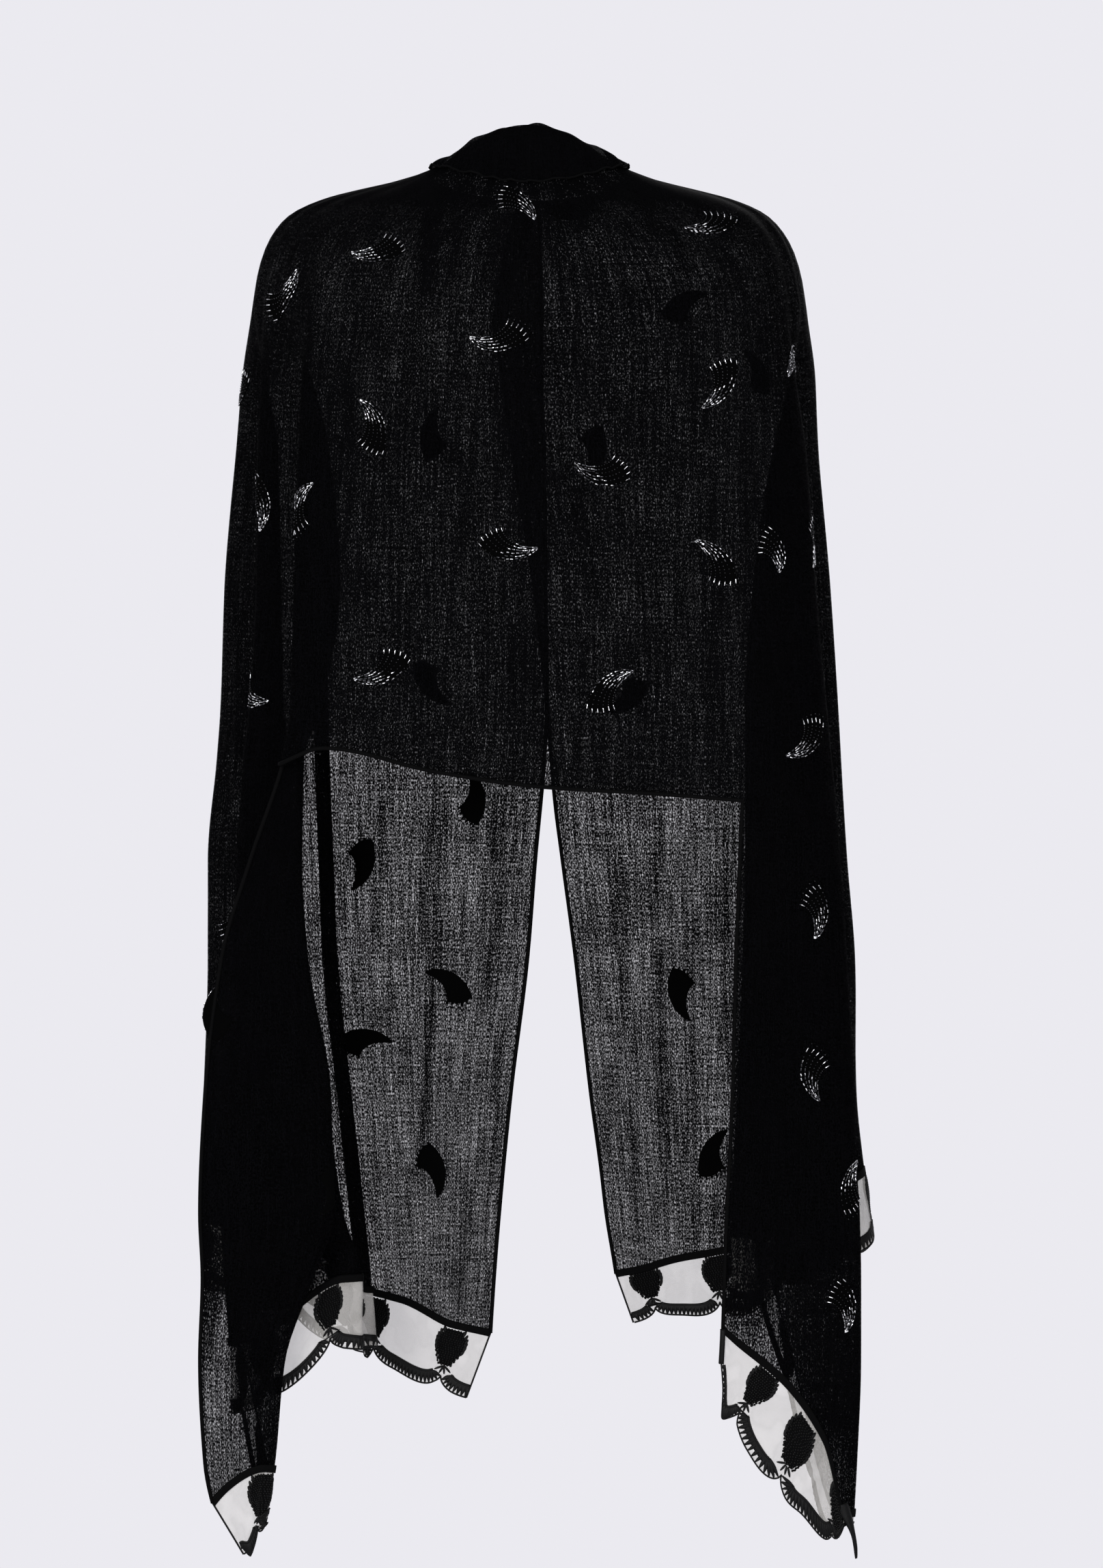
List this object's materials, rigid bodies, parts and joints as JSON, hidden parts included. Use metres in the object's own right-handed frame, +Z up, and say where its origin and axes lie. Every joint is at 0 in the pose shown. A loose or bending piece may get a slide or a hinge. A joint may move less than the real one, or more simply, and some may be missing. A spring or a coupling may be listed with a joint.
{
  "type": "sheer cashmere stole",
  "caption": "Long sheer black stole worn over the shoulders, with a turned-down collar, folds behind the arms and pale scalloped embroidered ends.",
  "frame": {"origin": "middle of the shoulder line, at the base of the wearer's neck, where the stole is carried", "axes": "+Z up, +Y the way the wearer faces, +X to the wearer's right as seen from behind"},
  "size_m": [0.5274, 0.2459, 1.0932],
  "materials": {
    "gauze": "sheer matt cashmere gauze, plain weave with uneven slubs",
    "organza": "crisp pale organza, softly creased",
    "thread": "black satin-stitch embroidery with a low sheen",
    "beads": "silver-lined glass bugles and seed beads"
  },
  "bodies": {
    "root": {"collar_flap": "gauze", "shoulder_left": "gauze", "shoulder_right": "gauze", "back_panel": "gauze", "front_left": "gauze", "side_left": "gauze", "front_right": "gauze", "side_right": "gauze", "border_front_left": "organza", "border_side_left": "organza", "border_front_right": "organza", "border_side_right": "organza", "border_tip": "thread"}
  },
  "joints": []
}
